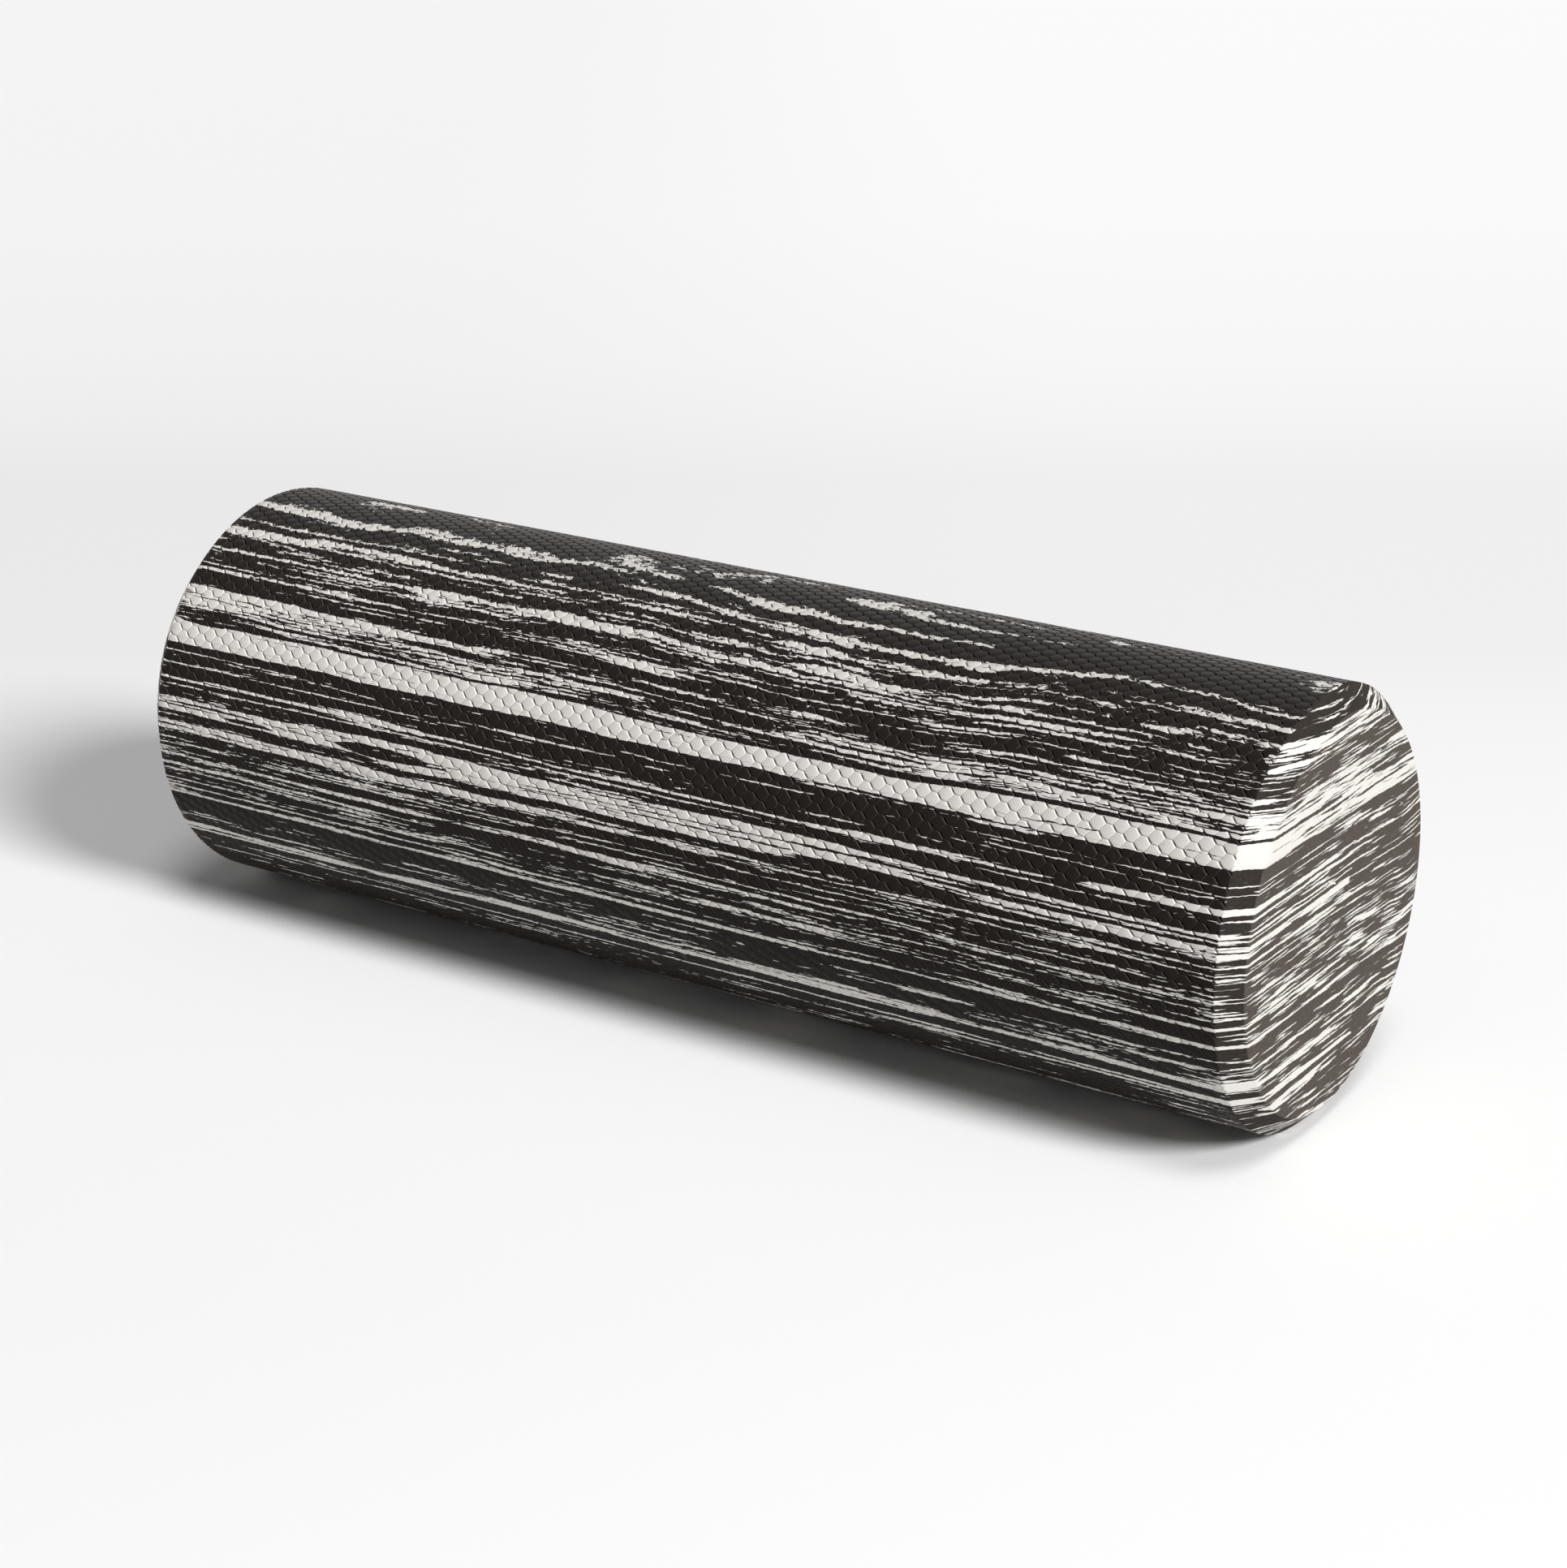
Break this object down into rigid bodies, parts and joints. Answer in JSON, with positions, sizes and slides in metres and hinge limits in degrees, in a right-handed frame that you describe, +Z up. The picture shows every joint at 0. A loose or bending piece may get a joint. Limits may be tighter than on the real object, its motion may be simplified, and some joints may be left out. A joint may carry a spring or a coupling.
{
  "type": "foam roller",
  "caption": "Solid round foam roller of marbled dark and light foam sheets glued in layers, with a dimpled honeycomb side, bevelled rims and flat ends, for massage and exercise.",
  "frame": {"origin": "on the floor under the middle of the roller, which lies on its side", "axes": "+X along the roller's axis towards the end that faces the viewer, +Z up"},
  "size_m": [0.4572, 0.1524, 0.1524],
  "materials": {
    "marbled_foam": "matte",
    "glue_film": "matte"
  },
  "bodies": {
    "root": {"upper_slab": "marbled_foam", "upper_bond": "glue_film", "middle_slab": "marbled_foam", "lower_bond": "glue_film", "lower_slab": "marbled_foam"}
  },
  "joints": []
}
